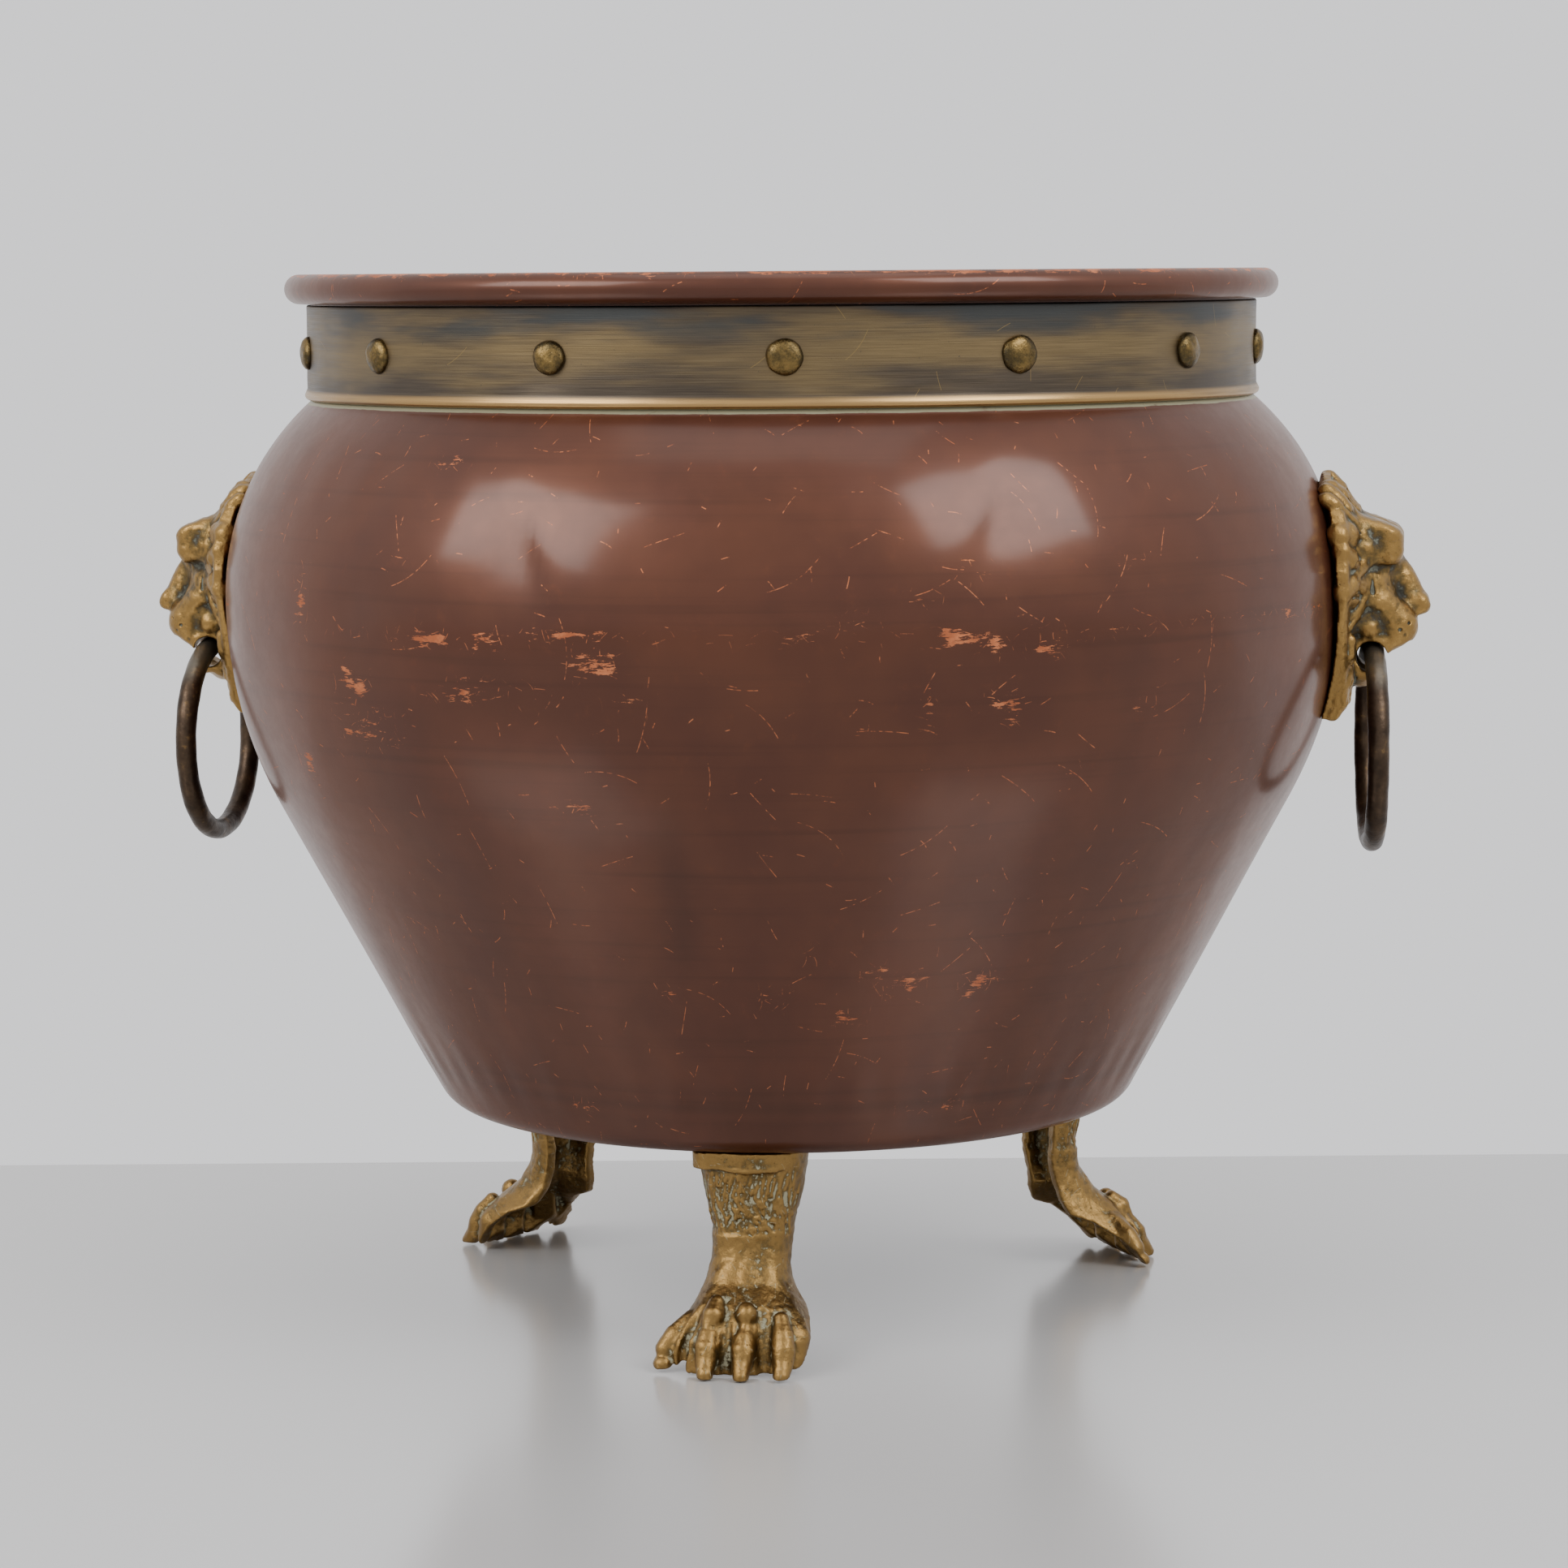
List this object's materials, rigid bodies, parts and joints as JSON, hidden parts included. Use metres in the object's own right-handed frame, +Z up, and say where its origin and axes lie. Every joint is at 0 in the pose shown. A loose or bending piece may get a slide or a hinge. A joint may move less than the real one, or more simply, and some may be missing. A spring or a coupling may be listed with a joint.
{
  "type": "footed planter pot",
  "caption": "Bulbous copper planter pot with a riveted brass neck band, rolled rim, lion-mask drop-ring handles and paw feet.",
  "frame": {"origin": "on the ground under the pot's axis, at the centre of its footprint box", "axes": "+Z up along the pot's axis, -Y through the front paw, +X through the right-hand handle"},
  "size_m": [0.361, 0.313, 0.2899],
  "materials": {
    "patinated_copper": "satin brown patina on copper, with scratches",
    "iron_wire": "dull",
    "band_brass": "brushed and tarnished",
    "rivet_brass": "tarnished",
    "mask_brass": "cast, worn high spots",
    "ring_bronze": "dark with worn places",
    "foot_brass": "cast, aged, pale residue in the grooves",
    "fixing_brass": "tarnished"
  },
  "bodies": {
    "pot": {"body": "patinated_copper", "rim_wire": "iron_wire", "neck_band": "band_brass", "band_rivets": "rivet_brass", "mask_left": "mask_brass", "mask_right": "mask_brass", "mask_studs_left": "fixing_brass", "mask_studs_right": "fixing_brass", "mask_washers_left": "fixing_brass", "mask_washers_right": "fixing_brass", "mask_nuts_left": "fixing_brass", "mask_nuts_right": "fixing_brass", "foot_front": "foot_brass", "foot_back_left": "foot_brass", "foot_back_right": "foot_brass", "foot_screws_front": "fixing_brass", "foot_screws_back_left": "fixing_brass", "foot_screws_back_right": "fixing_brass", "foot_washers_front": "fixing_brass", "foot_washers_back_left": "fixing_brass", "foot_washers_back_right": "fixing_brass", "foot_nuts_front": "fixing_brass", "foot_nuts_back_left": "fixing_brass", "foot_nuts_back_right": "fixing_brass"},
    "ring_left": {"ring_left": "ring_bronze"},
    "ring_right": {"ring_right": "ring_bronze"}
  },
  "joints": [
    {"name": "ring_left_swing", "type": "hinge", "parent": "pot", "child": "ring_left", "pos_m": [-0.165, 0, 0.183], "axis": [0, 1, 0], "range_deg": [-20, 160]},
    {"name": "ring_right_swing", "type": "hinge", "parent": "pot", "child": "ring_right", "pos_m": [0.165, 0, 0.183], "axis": [0, -1, 0], "range_deg": [-20, 160]}
  ]
}
